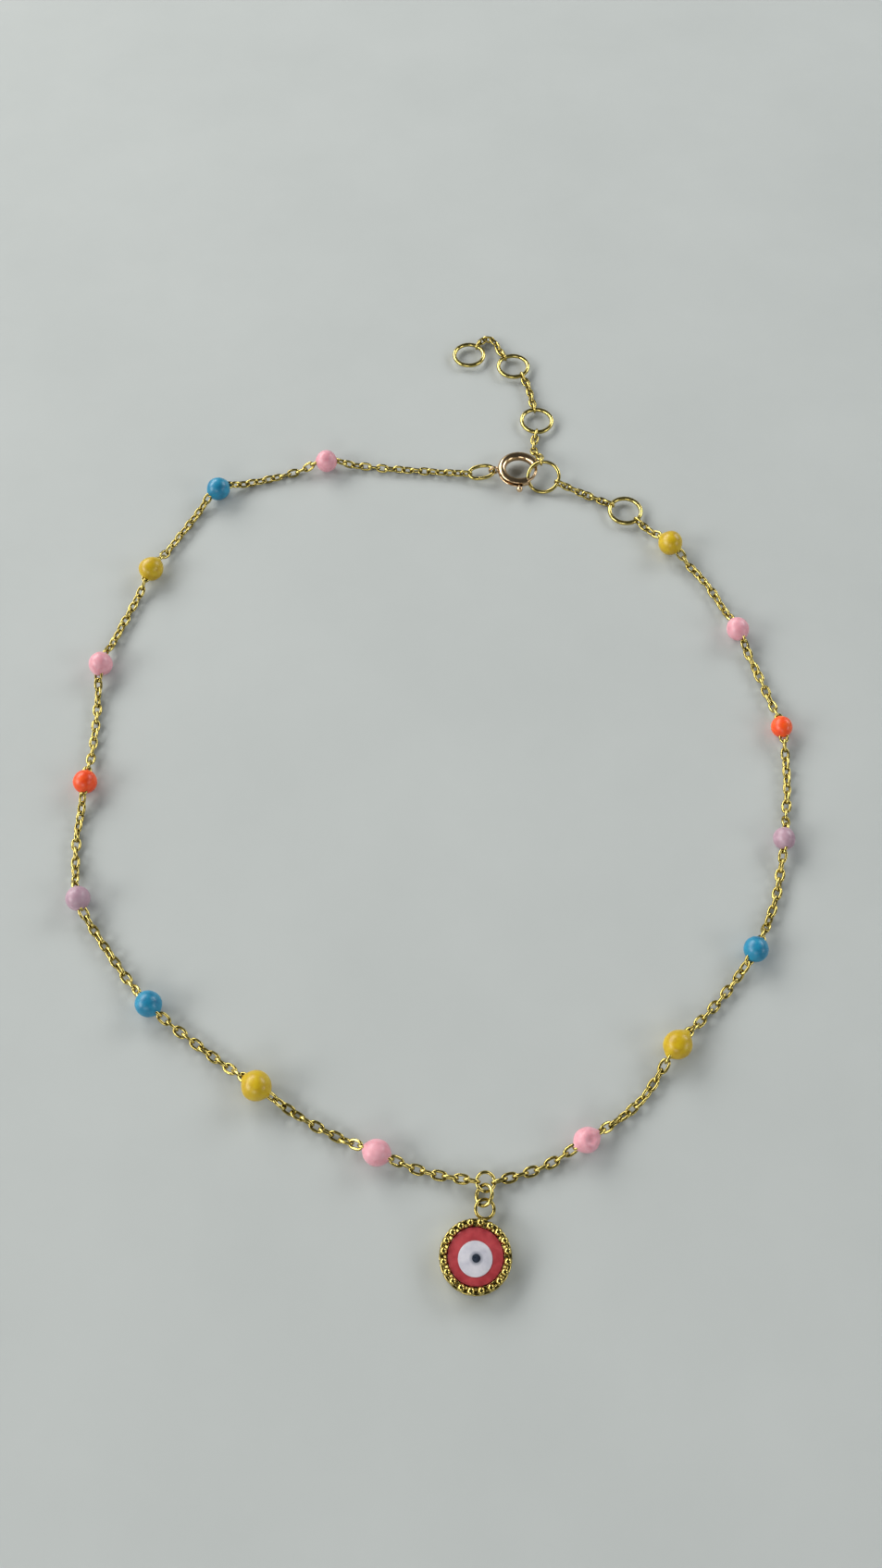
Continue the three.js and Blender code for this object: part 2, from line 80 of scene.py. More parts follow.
RING_R, RING_WIRE, HOOKED_WIRE = 1.8, 0.48, 0.4
# x, y, z, heading of the tilt line, tilt, place of the soldered joint
RINGS = {
    "extension_ring_1": (21.57, 27.23, 0.56, 0, 0, 70),
    "extension_ring_2": (12.32, 31.91, 1.0, -22.5, 25, 30),
    "extension_ring_3": (11.9, 41.11, 0.56, 0, 0, 10),
    "extension_ring_4": (9.32, 50.13, 0.56, 0, 0, 215),
    "extension_ring_5": (3.89, 52.07, 0.56, 0, 0, 170),
}

CLASP = np.array([9.49, 33.08, 1.0])
CLASP_R, CLASP_TUBE, CLASP_BORE = 2.0, 1.0, 0.6
GAP_FROM, GAP_TO = -63, 18
BOLT_D, BOLT_BACK, BOLT_TIP = 0.36, -110, 24
KNOB_AT, KNOB_R, KNOB_D = -90, 3.02, 0.72
SLOT_H, TRAVEL = 0.52, 62
TAB_R, TAB_WIRE, TAB_AT, HEADING = 0.48, 0.3, 2.93, 183

CONNECTOR_L, CONNECTOR_W, CONNECTOR_WIRE, CONNECTOR_DROP = 2.9, 2.0, 0.42, 0.44
CONNECTOR_ROLL = -4

SMALL_R, SMALL_WIRE = 0.8, 0.3
CENTRE_RING = (4.27, -47.44, 0.7, -99, -10)
JUMP_RING = (4.12, -48.57, 0.77, -95, 42)
JUMP_R, JUMP_WIRE = 0.88, 0.34
BAIL = (4.16, -49.7, 0.7, -100, -5)
CHARM = np.array([3.3, -53.62, 0.0])
CUP_R, CUP_H, CUP_FLOOR = 3.06, 1.42, 0.55
GRAINS, GRAIN_R, GRAIN_Z, GRAIN_D = 20, 2.73, 1.44, 0.70
FIELD_R, WHITE_R, PUPIL_R = 2.36, 1.45, 0.39
WHITE_AT = CHARM + np.array([-0.04, -0.20, 0.0])
PUPIL_AT = CHARM + np.array([0.04, -0.17, 0.0])

# ------------------------------------------------------------------ mesh helpers


def rad(a):
    return math.radians(a)


def unit(v):
    v = np.asarray(v, float)
    return v / np.linalg.norm(v)


def turn(axis, angle):
    """Matrix that turns by an angle in degrees about an axis."""
    x, y, z = unit(axis)
    c, s = math.cos(rad(angle)), math.sin(rad(angle))
    k = np.array([[0, -z, y], [z, 0, -x], [-y, x, 0]])
    return np.eye(3) * c + s * k + (1 - c) * np.outer([x, y, z], [x, y, z])


def joined(parts):
    verts, faces, n = [], [], 0
    for v, f in parts:
        verts.append(np.asarray(v, float))
        faces.extend([tuple(i + n for i in face) for face in f])
        n += len(v)
    return np.concatenate(verts), faces


def grid_faces(rows, cols, close_rows, close_cols):
    faces = []
    for i in range(rows if close_rows else rows - 1):
        for j in range(cols if close_cols else cols - 1):
            a, b = i * cols + j, i * cols + (j + 1) % cols
            c, d = ((i + 1) % rows) * cols + (j + 1) % cols, ((i + 1) % rows) * cols + j
            faces.append((a, b, c, d))
    return faces


def sweep_closed(path, normals, radius, sides, flat=None):
    """A closed wire along a closed path; normals are square to the path. radius may vary by point."""
    path = np.asarray(path, float)
    n = len(path)
    tangent = np.roll(path, -1, 0) - np.roll(path, 1, 0)
    tangent /= np.linalg.norm(tangent, axis=1)[:, None]
    side = np.cross(normals, tangent)
    side /= np.linalg.norm(side, axis=1)[:, None]
    top = np.cross(tangent, side)
    a = np.arange(sides) / sides * 2 * math.pi
    radius = np.broadcast_to(np.asarray(radius, float), (n,))
    ca, sa = np.cos(a), np.sin(a)
    if flat is not None:
        sa = sa * flat
    v = (
        path[:, None, :]
        + radius[:, None, None] * (ca[None, :, None] * side[:, None, :] + sa[None, :, None] * top[:, None, :])
    )
    faces = [tuple(reversed(f)) for f in grid_faces(n, sides, True, True)]
    return v.reshape(-1, 3), faces


def sweep_open(path, normals, radius, sides, cap=6):
    """A wire along an open path, closed by round ends."""
    path = np.asarray(path, float)
    normals = np.broadcast_to(np.asarray(normals, float), path.shape)
    tangent = np.gradient(path, axis=0)
    tangent /= np.linalg.norm(tangent, axis=1)[:, None]
    radius = np.broadcast_to(np.asarray(radius, float), (len(path),))
    rows, dirs, norms, radii = [], [], [], []
    for k in range(cap, 0, -1):
        h = math.sin(k / cap * math.pi / 2 * 0.96)
        rows.append(path[0] - tangent[0] * radius[0] * h)
        dirs.append(tangent[0]); norms.append(normals[0]); radii.append(radius[0] * math.sqrt(1 - h * h))
    for p, t, m, r in zip(path, tangent, normals, radius):
        rows.append(p); dirs.append(t); norms.append(m); radii.append(r)
    for k in range(1, cap + 1):
        h = math.sin(k / cap * math.pi / 2 * 0.96)
        rows.append(path[-1] + tangent[-1] * radius[-1] * h)
        dirs.append(tangent[-1]); norms.append(normals[-1]); radii.append(radius[-1] * math.sqrt(1 - h * h))
    rows, dirs, norms, radii = map(np.asarray, (rows, dirs, norms, radii))
    side = np.cross(norms, dirs)
    side /= np.linalg.norm(side, axis=1)[:, None]
    top = np.cross(dirs, side)
    a = np.arange(sides) / sides * 2 * math.pi
    v = rows[:, None, :] + radii[:, None, None] * (
        np.cos(a)[None, :, None] * side[:, None, :] + np.sin(a)[None, :, None] * top[:, None, :]
    )
    n = len(rows)
    faces = [tuple(reversed(f)) for f in grid_faces(n, sides, False, True)]
    faces.append(tuple(range(sides)))
    faces.append(tuple(reversed(range((n - 1) * sides, n * sides))))
    return v.reshape(-1, 3), faces


def lathe(profile, segments, centre=(0, 0, 0), wobble=None):
    """A profile of (r, z), from the axis round to the axis again, turned about +Z."""
    profile = np.asarray(profile, float)
    inner = profile[1:-1]
    a = np.arange(segments) / segments * 2 * math.pi
    r = inner[:, 0][:, None] * np.ones(segments)[None, :]
    z = inner[:, 1][:, None] * np.ones(segments)[None, :]
    if wobble is not None:
        r, z = wobble(r, z, a[None, :])
    v = np.stack([r * np.cos(a)[None, :], r * np.sin(a)[None, :], z], -1).reshape(-1, 3)
    n = len(inner)
    faces = grid_faces(n, segments, False, True)
    first, last = n * segments, n * segments + 1
    v = np.concatenate([v, [[0, 0, profile[0][1]], [0, 0, profile[-1][1]]]])
    for j in range(segments):
        k = (j + 1) % segments
        faces.append((first, k, j))
        faces.append((last, (n - 1) * segments + j, (n - 1) * segments + k))
    return v + np.asarray(centre, float), faces


def ball(radius, centre, rows=14, cols=20, axis=UP, squash=(1, 1, 1), lump=None):
    """A closed ball with its poles on an axis, shaped by a function of direction."""
    axis = unit(axis)
    side = unit(np.cross(axis, UP if abs(axis[2]) < 0.9 else np.array([1.0, 0, 0])))
    third = np.cross(axis, side)
    dirs = [np.array([0.0, 0.0, -1.0])]
    for i in range(1, rows):
        t = math.pi * i / rows
        for j in range(cols):
            p = 2 * math.pi * j / cols
            dirs.append(np.array([math.sin(t) * math.cos(p), math.sin(t) * math.sin(p), -math.cos(t)]))
    dirs.append(np.array([0.0, 0.0, 1.0]))
    dirs = np.array(dirs)
    shape = dirs * radius * np.asarray(squash, float)
    if lump is not None:
        shape = lump(dirs, shape)
    v = shape[:, 0:1] * side + shape[:, 1:2] * third + shape[:, 2:3] * axis
    faces = []
    for j in range(cols):
        faces.append((0, 1 + (j + 1) % cols, 1 + j))
    for i in range(rows - 2):
        for j in range(cols):
            a, b = 1 + i * cols + j, 1 + i * cols + (j + 1) % cols
            faces.append((a, b, b + cols, a + cols))
    top = 1 + (rows - 1) * cols
    for j in range(cols):
        faces.append((top, 1 + (rows - 2) * cols + j, 1 + (rows - 2) * cols + (j + 1) % cols))
    return v + np.asarray(centre, float), faces


def uneven(seed, amount, waves=9, low=1.2, high=3.2):
    """A smooth uneven field over directions, the same each run."""
    rng = np.random.RandomState(seed)
    k = rng.normal(size=(waves, 3))
    k = k / np.linalg.norm(k, axis=1)[:, None] * rng.uniform(low, high, waves)[:, None]
    phase = rng.uniform(0, 2 * math.pi, waves)
    weight = rng.uniform(0.4, 1.0, waves)
    weight *= amount / np.sqrt((weight**2).sum() / 2)
    return lambda d: (np.cos(d @ k.T + phase) * weight).sum(-1)


def piece(name, mesh_data, material, nodes, body="anklet"):
    verts, faces = mesh_data
    mesh = bpy.data.meshes.new(name)
    mesh.from_pydata(((np.asarray(verts) + ORIGIN) * MM).tolist(), [], [list(f) for f in faces])
    mesh.validate()
    mesh.polygons.foreach_set("use_smooth", [True] * len(mesh.polygons))
    mesh.materials.append(material)
    mesh.update()
    obj = bpy.data.objects.new(name, mesh)
    bpy.context.scene.collection.objects.link(obj)
    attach(obj, body)
    if nodes:
        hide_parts(*nodes)
    return obj


# ------------------------------------------------------------------ materials


class Tree:
    def __init__(self, name):
        self.material = bpy.data.materials.new(name)
        self.material.use_nodes = True
        self.nodes = self.material.node_tree.nodes
        self.links = self.material.node_tree.links
        self.shader = self.nodes["Principled BSDF"]
        self.coord = self.nodes.new("ShaderNodeTexCoord").outputs["Object"]

    def link(self, a, b):
        self.links.new(a, b)

    def noise(self, scale, detail=3.0, rough=0.5, distortion=0.0):
        n = self.nodes.new("ShaderNodeTexNoise")
        n.inputs["Scale"].default_value = scale
        n.inputs["Detail"].default_value = detail
        n.inputs["Roughness"].default_value = rough
        n.inputs["Distortion"].default_value = distortion
        self.link(self.coord, n.inputs["Vector"])
        return n.outputs["Fac"]

    def ramp(self, value, stops):
        n = self.nodes.new("ShaderNodeValToRGB")
        e = n.color_ramp.elements
        while len(e) < len(stops):
            e.new(0.5)
        for at, (pos, colour) in zip(e, stops):
            at.position = pos
            at.color = (*colour, 1)
        self.link(value, n.inputs["Fac"])
        return n.outputs["Color"]

    def span(self, value, low, high, start=0.3, stop=0.7):
        n = self.nodes.new("ShaderNodeMapRange")
        n.inputs["From Min"].default_value = start
        n.inputs["From Max"].default_value = stop
        n.inputs["To Min"].default_value = low
        n.inputs["To Max"].default_value = high
        self.link(value, n.inputs["Value"])
        return n.outputs["Result"]

    def mix(self, fac, a, b, kind="MIX"):
        n = self.nodes.new("ShaderNodeMix")
        n.data_type = "RGBA"
        n.blend_type = kind
        for value, at in ((fac, 0), (a, 6), (b, 7)):
            if isinstance(value, (int, float)):
                n.inputs[at].default_value = value
            elif isinstance(value, tuple):
                n.inputs[at].default_value = (*value, 1)
            else:
                self.link(value, n.inputs[at])
        return n.outputs[2]

    def bump(self, height, distance, strength=1.0, after=None):
        n = self.nodes.new("ShaderNodeBump")
        n.inputs["Strength"].default_value = strength
        n.inputs["Distance"].default_value = distance
        self.link(height, n.inputs["Height"])
        if after is not None:
            self.link(after, n.inputs["Normal"])
        return n.outputs["Normal"]


def metal(name, bright, deep, rough=(0.14, 0.28)):
    """Polished gold: uneven tone, painted shade darkening the colour in corners and gaps, fine scratches."""
    t = Tree(name)
    tone = t.ramp(t.noise(900, 4, 0.6), [(0.32, deep), (0.68, bright)])
    # Painted shade: the base colour darkens towards a deep tone where ambient occlusion finds nearby surfaces.
    corner = t.nodes.new("ShaderNodeAmbientOcclusion")
    corner.inputs["Distance"].default_value = 0.0005
    corner.samples = 8
    painted_corner_shade = tuple(c * f for c, f in zip(deep, (0.34, 0.31, 0.24)))
    colour = t.mix(t.span(corner.outputs["AO"], 0, 1, 0.25, 0.9), painted_corner_shade, tone)
    t.link(colour, t.shader.inputs["Base Color"])
    t.shader.inputs["Metallic"].default_value = 1.0
    t.shader.inputs["Coat Weight"].default_value = 0.5
    t.shader.inputs["Coat Roughness"].default_value = 0.12
    t.link(t.span(t.noise(5200, 4, 0.62), *rough), t.shader.inputs["Roughness"])
    soft = t.bump(t.noise(1700, 2, 0.4), 0.000006, 0.35)
    t.link(t.bump(t.noise(22000, 3, 0.6, 0.6), 0.0000012, 0.2, soft), t.shader.inputs["Normal"])
    return t.material


def enamel(name, light, body, dark, rough=(0.34, 0.46), scatter=(0.9, 0.5, 0.4), weight=0.3, halo=None):
    """Fired enamel: clouded colour, a soft skin and a slightly wavy surface."""
    t = Tree(name)
    cloud = t.ramp(t.noise(1100, 3, 0.55), [(0.28, dark), (0.5, body), (0.74, light)])
    speck = t.noise(14000, 2, 0.5)
    colour = t.mix(t.span(speck, 0.0, 0.22, 0.56, 0.74), cloud, light)
    if halo is not None:
        # Colour of the disc set into this one, bled a little way out of it.
        far = t.nodes.new("ShaderNodeVectorMath")
        far.operation = "DISTANCE"
        far.inputs[1].default_value = halo[0]
        t.link(t.coord, far.inputs[0])
        colour = t.mix(t.span(far.outputs["Value"], 0.75, 0.0, halo[1], halo[2]), colour, halo[3])
    t.link(colour, t.shader.inputs["Base Color"])
    t.link(t.span(t.noise(2400, 3, 0.6), *rough), t.shader.inputs["Roughness"])
    wave = t.bump(t.noise(1300, 2, 0.45), 0.00002, 0.5)
    t.link(t.bump(t.noise(9000, 3, 0.6), 0.000004, 0.4, wave), t.shader.inputs["Normal"])
    t.shader.inputs["Subsurface Weight"].default_value = weight
    t.shader.inputs["Subsurface Radius"].default_value = scatter
    t.shader.inputs["Subsurface Scale"].default_value = 0.0006
    t.shader.inputs["Coat Weight"].default_value = 0.22
    t.shader.inputs["Coat Roughness"].default_value = 0.24
    return t.material


def srgb(r, g, b):
    f = lambda c: c / 12.92 if c <= 0.04045 else ((c + 0.055) / 1.055) ** 2.4
    return tuple(f(c / 255) for c in (r, g, b))


GOLD = metal("gold_polished", (0.70, 0.56, 0.16), (0.50, 0.385, 0.085), (0.16, 0.26))
RING_GOLD = metal("gold_rings", (0.72, 0.58, 0.18), (0.56, 0.44, 0.11), (0.15, 0.25))
# Darker copy of the gold for the charm setting: painted shade on its rim and between the grains.
SHADED_SETTING_GOLD = metal("gold_milgrain_painted_shade", (0.64, 0.50, 0.13), (0.42, 0.32, 0.07), (0.12, 0.20))
ROSE = metal("rose_gold_polished", (0.72, 0.51, 0.30), (0.60, 0.40, 0.21), (0.16, 0.26))
ENAMELS = {
    "pink": enamel("enamel_pink", srgb(240, 182, 192), srgb(232, 166, 178), srgb(216, 146, 158)),
    "blue": enamel("enamel_blue", srgb(44, 152, 188), srgb(24, 134, 172), srgb(12, 112, 152), scatter=(0.2, 0.5, 0.7)),
    "yellow": enamel("enamel_yellow", srgb(216, 186, 26), srgb(204, 171, 10), srgb(188, 152, 4), scatter=(0.9, 0.7, 0.1)),
    "orange": enamel("enamel_orange", srgb(255, 108, 44), srgb(250, 86, 24), srgb(232, 66, 14), scatter=(1.0, 0.4, 0.15)),
    "lilac": enamel("enamel_lilac", srgb(198, 166, 180), srgb(184, 151, 166), srgb(166, 131, 148), scatter=(0.8, 0.6, 0.6)),
    "coral": enamel("enamel_coral", srgb(192, 78, 82), srgb(176, 62, 68), srgb(158, 48, 55), rough=(0.34, 0.5)),
    "white": enamel("enamel_white", srgb(220, 218, 224), srgb(205, 204, 212), srgb(188, 188, 199), rough=(0.32, 0.44), scatter=(0.7, 0.7, 0.8),
                    halo=(tuple((PUPIL_AT + ORIGIN) * MM + np.array([0, 0, 0.0016])), 0.00038, 0.00064, srgb(112, 118, 132))),
    "pupil": enamel("enamel_pupil", srgb(52, 62, 78), srgb(38, 47, 60), srgb(26, 32, 44), rough=(0.22, 0.36), weight=0.05),
}

# ------------------------------------------------------------------ rings


def ring_frame(row):
    """Middle and turn of a ring that is tilted about a level line."""
    x, y, z, axis, tilt = row[:5]
    return np.array([x, y, z]), turn((math.cos(rad(axis)), math.sin(rad(axis)), 0), tilt)


def on_ring(row, radius, angle):
    centre, m = ring_frame(row)
    return centre + m @ np.array([radius * math.cos(rad(angle)), radius * math.sin(rad(angle)), 0])


def wire_ring(row, radius, wire, joint, seed, segments=132, sides=18):
    """A round wire ring, slightly out of round, with a soldered joint."""
    centre, m = ring_frame(row)
    rng = np.random.RandomState(seed)
    a = np.arange(segments) / segments * 2 * math.pi
    r = radius * (1 + 0.007 * np.cos(2 * a + rng.uniform(0, 6)) + 0.003 * np.cos(3 * a + rng.uniform(0, 6)))
    path = np.stack([r * np.cos(a), r * np.sin(a), 0 * a], -1)
    off = (a - rad(joint) + math.pi) % (2 * math.pi) - math.pi
    thick = wire / 2 * (
        1 + 0.012 * np.cos(3 * a + rng.uniform(0, 6))
        + 0.07 * np.exp(-((off / 0.16) ** 2)) - 0.11 * np.exp(-((off / 0.045) ** 2))
    )
    v, f = sweep_closed(path, np.broadcast_to(UP, path.shape), thick, sides)
    return v @ m.T + centre, f


for i, (name, row) in enumerate(RINGS.items()):
    wire = HOOKED_WIRE if name == "extension_ring_2" else RING_WIRE
    piece(name + "_wire", wire_ring(row, RING_R, wire, row[5], 40 + i), RING_GOLD, [name])
piece("centre_ring_wire", wire_ring(CENTRE_RING, SMALL_R, SMALL_WIRE, 60, 50, 96, 16), RING_GOLD, ["centre_ring"])
piece("jump_ring_wire", wire_ring(JUMP_RING, JUMP_R, JUMP_WIRE, 140, 51, 96, 16), RING_GOLD, ["jump_ring"])

# ------------------------------------------------------------------ clasp


def arc_point(angle, radius=CLASP_R, z=0.0):
    return np.array([radius * math.cos(rad(angle)), radius * math.sin(rad(angle)), z])


def clasp_shell():
    """The C-shaped tube: outside, bore, rounded lips and the knob's slot, as one closed skin."""
    slot_from, slot_to = 360 + KNOB_AT - TRAVEL - 9, 360 + KNOB_AT + 9
    start, stop = GAP_TO, 360 + GAP_FROM
    edge = [0, 0.25, 0.7, 1.4, 2.4, 4.2]
    rows = [start + e for e in edge] + list(np.linspace(start + 8, slot_from - 3, 44))
    ends = [0.0, 0.6, 1.4, 2.6, 4.2, 6.4]
    slot_rows = [slot_from + e for e in ends] + list(np.linspace(slot_from + 9, slot_to - 9, 18)) + [slot_to - e for e in reversed(ends)]
    first_slot = len(rows)
    rows += slot_rows
    last_slot = len(rows) - 1
    rows += list(np.linspace(slot_to + 2.5, stop - 6, 5)) + [stop - e for e in reversed(edge)]
    half = math.degrees(math.asin(SLOT_H / CLASP_TUBE))
    # Lines round the tube: some inside the slot's height, the rest outside it.
    inside, outside = 8, 26

    def section(limit):
        b = list(np.linspace(-limit, limit, inside + 1))
        return b + list(np.linspace(limit, 360 - limit, outside + 1))[1:-1]

    cols = inside + outside
    outer, inner = [], []
    for k, at in enumerate(rows):
        reach = min(at - start, stop - at) * math.pi / 180 * CLASP_R
        round_lip = 0.06
        drop = round_lip - math.sqrt(max(0.0, round_lip**2 - max(0.0, round_lip - reach) ** 2))
        limit = half
        if first_slot <= k <= last_slot:
            far = min(at - slot_from, slot_to - at) * math.pi / 180 * (CLASP_R + 0.5)
            r_end = SLOT_H / 2
            s = math.sqrt(max(0.0, 1 - (max(0.0, r_end - far) / r_end) ** 2))
            limit = half * max(0.16, s)
        deep = math.degrees(math.asin(min(0.97, math.sin(rad(limit)) * CLASP_TUBE / CLASP_BORE)))
        for list_, r, edge_at in ((outer, CLASP_TUBE / 2 - drop, limit), (inner, CLASP_BORE / 2 + drop * 0.4, deep)):
            for b in section(edge_at):
                radius = CLASP_R + r * math.cos(rad(b))
                list_.append(arc_point(at, radius, r * math.sin(rad(b))))
    n = len(rows)
    verts = outer + inner
    shift = n * cols
    faces = []
    for i in range(n - 1):
        for j in range(cols):
            if first_slot <= i < last_slot and j < inside:
                continue
            k = (j + 1) % cols
            a, b, c, d = i * cols + j, i * cols + k, (i + 1) * cols + k, (i + 1) * cols + j
            faces.append((d, c, b, a))
            faces.append((a + shift, b + shift, c + shift, d + shift))
    for j in range(cols):
        k = (j + 1) % cols
        faces.append((j, k, k + shift, j + shift))
        e = (n - 1) * cols
        faces.append((e + k, e + j, e + j + shift, e + k + shift))
    for i in range(first_slot, last_slot):
        for j, flip in ((0, False), (inside, True)):
            a, d = i * cols + j, (i + 1) * cols + j
            face = (a, d, d + shift, a + shift)
            faces.append(tuple(reversed(face)) if flip else face)
    for j in range(inside):
        a, b = first_slot * cols + j, first_slot * cols + j + 1
        faces.append((b, a, a + shift, b + shift))
        a, b = last_slot * cols + j, last_slot * cols + j + 1
        faces.append((a, b, b + shift, a + shift))
    return np.array(verts), faces


def upright_ring(centre, radius, wire, heading, segments=64, sides=14, squash=1.0):
    """A ring that stands on edge, in line with a heading."""
    a = np.arange(segments) / segments * 2 * math.pi
    h = np.array([math.cos(rad(heading)), math.sin(rad(heading)), 0])
    path = np.outer(radius * np.cos(a), h) + np.outer(radius * squash * np.sin(a), UP)
    normal = np.cross(h, UP)
    v, f = sweep_closed(path, np.broadcast_to(normal, path.shape), wire / 2, sides)
    return v + centre, f


tab_local = arc_point(HEADING, TAB_AT)
solder = ball(0.3, arc_point(HEADING, CLASP_R + 0.47), 12, 16, arc_point(HEADING, 1.0), (0.95, 1.0, 0.55))
clasp_mesh = joined([clasp_shell(), upright_ring(tab_local, TAB_R, TAB_WIRE, HEADING), solder])
piece("clasp_body_shell", (clasp_mesh[0] + CLASP, clasp_mesh[1]), ROSE, ["clasp_body"])

bolt_path = np.array([arc_point(a) for a in np.linspace(BOLT_BACK + 4, BOLT_TIP - 4, 70)])
bolt = sweep_open(bolt_path, UP, BOLT_D / 2, 16)
stem = sweep_open(
    np.array([arc_point(KNOB_AT, r) for r in np.linspace(CLASP_R + 0.05, KNOB_R - 0.1, 8)]), UP,
    np.array([0.17, 0.17, 0.17, 0.17, 0.172, 0.18, 0.2, 0.22]), 16, 3,
)
knob_shape = lambda d, s: s * (1 + 0.02 * np.cos(3 * d[:, 0:1] + 1))
knob = ball(KNOB_D / 2, arc_point(KNOB_AT, KNOB_R), 20, 28, arc_point(KNOB_AT, 1.0), (1, 1, 0.94), knob_shape)
trigger_mesh = joined([bolt, stem, knob])
piece("clasp_trigger_bolt", (trigger_mesh[0] + CLASP, trigger_mesh[1]), ROSE, ["clasp_trigger"], "clasp_trigger")

# Connector: an oval ring through the clasp's loop, its far end lower, at the chain.
reach = np.array([math.cos(rad(HEADING)), math.sin(rad(HEADING)), 0])
tab_point = CLASP + reach * TAB_AT
chain_point = tab_point + reach * math.sqrt(CONNECTOR_L**2 - CONNECTOR_DROP**2) - UP * CONNECTOR_DROP


def oval_connector():
    along = unit(chain_point - tab_point)
    side = unit(np.cross(UP, along))
    top = np.cross(along, side)
    a = np.arange(120) / 120 * 2 * math.pi
    x = CONNECTOR_L / 2 * np.cos(a)
    y = CONNECTOR_W / 2 * np.sin(a) * (1 - 0.12 * np.sin(a) ** 2)
    roll = turn(along, CONNECTOR_ROLL)
    side, top = roll @ side, roll @ top
    path = (tab_point + chain_point) / 2 + np.outer(x, along) + np.outer(y, side)
    off = (a - rad(75) + math.pi) % (2 * math.pi) - math.pi
    thick = CONNECTOR_WIRE / 2 * (1 - 0.16 * np.exp(-((off / 0.05) ** 2)))
    return sweep_closed(path, np.broadcast_to(top, path.shape), thick, 18)


piece("connector_ring_wire", oval_connector(), RING_GOLD, ["connector_ring"])

# ------------------------------------------------------------------ chain


def link_template(around=28, sides=10):
    a = np.arange(around) / around * 2 * math.pi
    x = (LINK_L - LINK_WIRE) / 2 * np.sign(np.cos(a)) * np.abs(np.cos(a)) ** 0.86
    y = (LINK_W - LINK_WIRE) / 2 * np.sign(np.sin(a)) * np.abs(np.sin(a)) ** 0.86
    path = np.stack([x, y, 0 * a], -1)
    return sweep_closed(path, np.broadcast_to(UP, path.shape), LINK_WIRE / 2, sides)


LINK_V, LINK_F = link_template()
HOLE = LINK_L - 2 * LINK_WIRE


def smooth_curve(points):
    """A level curve through points, as a function of the way along their chords."""
    p = np.asarray(points, float)
    t = np.concatenate([[0], np.cumsum(np.linalg.norm(np.diff(p, axis=0), axis=1))])
    d = np.diff(p, axis=0) / np.diff(t)[:, None]
    slope = np.empty_like(p)
    slope[0], slope[-1] = d[0], d[-1]
    h = np.diff(t)
    for i in range(1, len(p) - 1):
        slope[i] = (d[i] * h[i - 1] + d[i - 1] * h[i]) / (h[i - 1] + h[i])

    def at(s):
        s = np.atleast_1d(s)
        i = np.clip(np.searchsorted(t, s, side="left") - 1, 0, len(p) - 2)
        w = h[i]
        u = (s - t[i]) / w
        f = lambda c: c[:, None]
        return (
            f(2 * u**3 - 3 * u**2 + 1) * p[i] + f((u**3 - 2 * u**2 + u) * w) * slope[i]
            + f(-2 * u**3 + 3 * u**2) * p[i + 1] + f((u**3 - u**2) * w) * slope[i + 1]
        )

    return t, at, slope


def smoothstep(x):
    x = np.clip(x, 0, 1)
    return x * x * (3 - 2 * x)


def lay_links(route, start_wire, end_wire, seed, lift=None):
    """Links along a route of dense points; the first and last stand upright round the rings' wires."""
    rng = np.random.RandomState(seed)
    s = np.concatenate([[0], np.cumsum(np.linalg.norm(np.diff(route, axis=0), axis=1))])
    at = lambda q: np.stack([np.interp(q, s, route[:, k]) for k in range(3)], -1)
    first = HOLE / 2 - start_wire / 2 - 0.012
    last = s[-1] - (HOLE / 2 - end_wire / 2 - 0.012)
    n = int(math.ceil((last - first) / PITCH)) + 1
    pitch = (last - first) / (n - 1)
    centres = first + np.arange(n) * pitch
    a, b = at(np.clip(centres - pitch / 2, 0, s[-1])), at(np.clip(centres + pitch / 2, 0, s[-1]))
    # Slow twist along the chain; upright at both ends.
    phase = rng.uniform(0, 2 * math.pi, 4)
    wave = np.array([23.0, 12.0, 7.3, 4.1])
    size = np.array([26.0, 20.0, 13.0, 7.0])
    drift = (size * np.sin(2 * math.pi * centres[:, None] / wave + phase)).sum(-1)
    fade = smoothstep(np.minimum(centres - first, last - centres) / 4.0)
    parity_end = 90.0 if (n - 1) % 2 == 0 else 0.0
    base = 90.0 + (parity_end - 90.0) * smoothstep((centres - first) / (last - first))
    angle = base + drift * fade + rng.normal(0, 3.0, n) * fade
    angle = angle + 90.0 * (np.arange(n) % 2)
    parts = []
    for k in range(n):
        axis = unit(b[k] - a[k])
        centre = (a[k] + b[k]) / 2
        flat = unit(np.cross(UP, axis))
        up = np.cross(axis, flat)
        c, sn = math.cos(rad(angle[k])), math.sin(rad(angle[k]))
        across = flat * c + up * sn
        normal = np.cross(axis, across)
        scale = np.array([1 + rng.normal(0, 0.008), 1 + rng.normal(0, 0.014), 1 + rng.normal(0, 0.03)])
        v = LINK_V * scale
        v = centre + np.outer(v[:, 0], axis) + np.outer(v[:, 1], across) + np.outer(v[:, 2], normal)
        low = v[:, 2].min()
        if low < 0.004:
            v[:, 2] += 0.004 - low
        parts.append((v, LINK_F))
    return joined(parts), n


